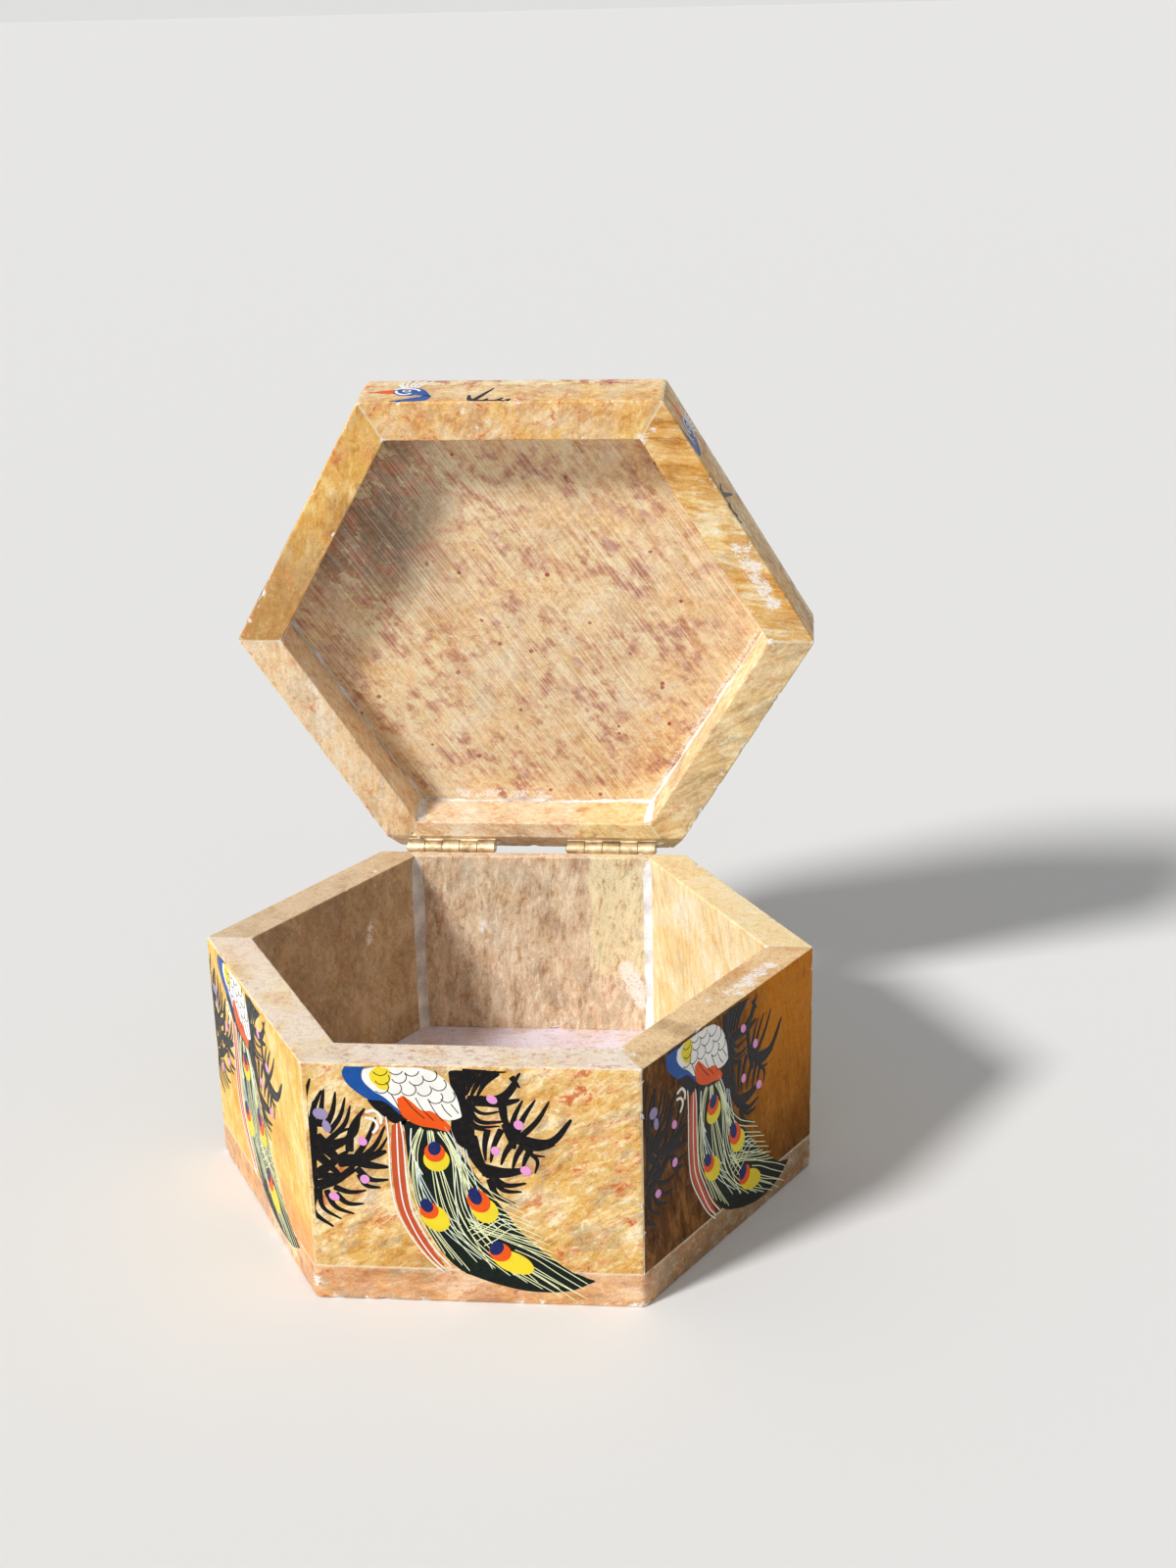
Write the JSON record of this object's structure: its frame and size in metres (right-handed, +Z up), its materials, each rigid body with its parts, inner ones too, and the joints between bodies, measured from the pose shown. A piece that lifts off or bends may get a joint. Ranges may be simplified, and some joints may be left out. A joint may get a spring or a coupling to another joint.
{
  "type": "trinket box",
  "caption": "Six-sided soapstone trinket box of cemented slabs, with a mitred lid that swings on two small brass butt hinges, shown open.",
  "frame": {"origin": "centre of the underside of the six-sided box, where it stands on a table", "axes": "+Z up; -Y is the front wall and +Y the hinged back wall, so +X is to the right seen from the front; the six corners lie at 0, 60, 120, 180, 240 and 300 degrees from +X"},
  "size_m": [0.0996, 0.0966, 0.1252],
  "materials": {
    "stone": "smooth honed, cloudy honey and cream, painted outside",
    "stone_base": "smooth honed, pinkish brown",
    "stone_lid": "sawn and part honed, salmon beige with rust spots",
    "cement": "matt, pale grey white",
    "brass": "satin, aged",
    "paint": "semi-gloss enamel in black, blue, red-brown, white and yellow"
  },
  "bodies": {
    "box": {"bottom_slab": "stone_base", "corner_cement_box": "cement", "hinge_cement_box": "cement", "hinge_leaf_box_left": "brass", "hinge_leaf_box_right": "brass", "hinge_pin_left": "brass", "hinge_pin_right": "brass", "wall_back": "stone", "wall_back_left": "stone", "wall_back_right": "stone", "wall_front": "stone", "wall_front_left": "stone", "wall_front_right": "stone"},
    "lid": {"corner_cement_lid": "cement", "hinge_cement_lid": "cement", "hinge_leaf_lid_left": "brass", "hinge_leaf_lid_right": "brass", "lid_rim_back": "stone", "lid_rim_back_left": "stone", "lid_rim_back_right": "stone", "lid_rim_front": "stone", "lid_rim_front_left": "stone", "lid_rim_front_right": "stone", "lid_top_slab": "stone_lid"}
  },
  "joints": [
    {"name": "lid_hinge", "type": "hinge", "parent": "box", "child": "lid", "pos_m": [0, 0.0417, 0.0396], "axis": [-1, 0, 0], "range_deg": [-80, 45]}
  ]
}
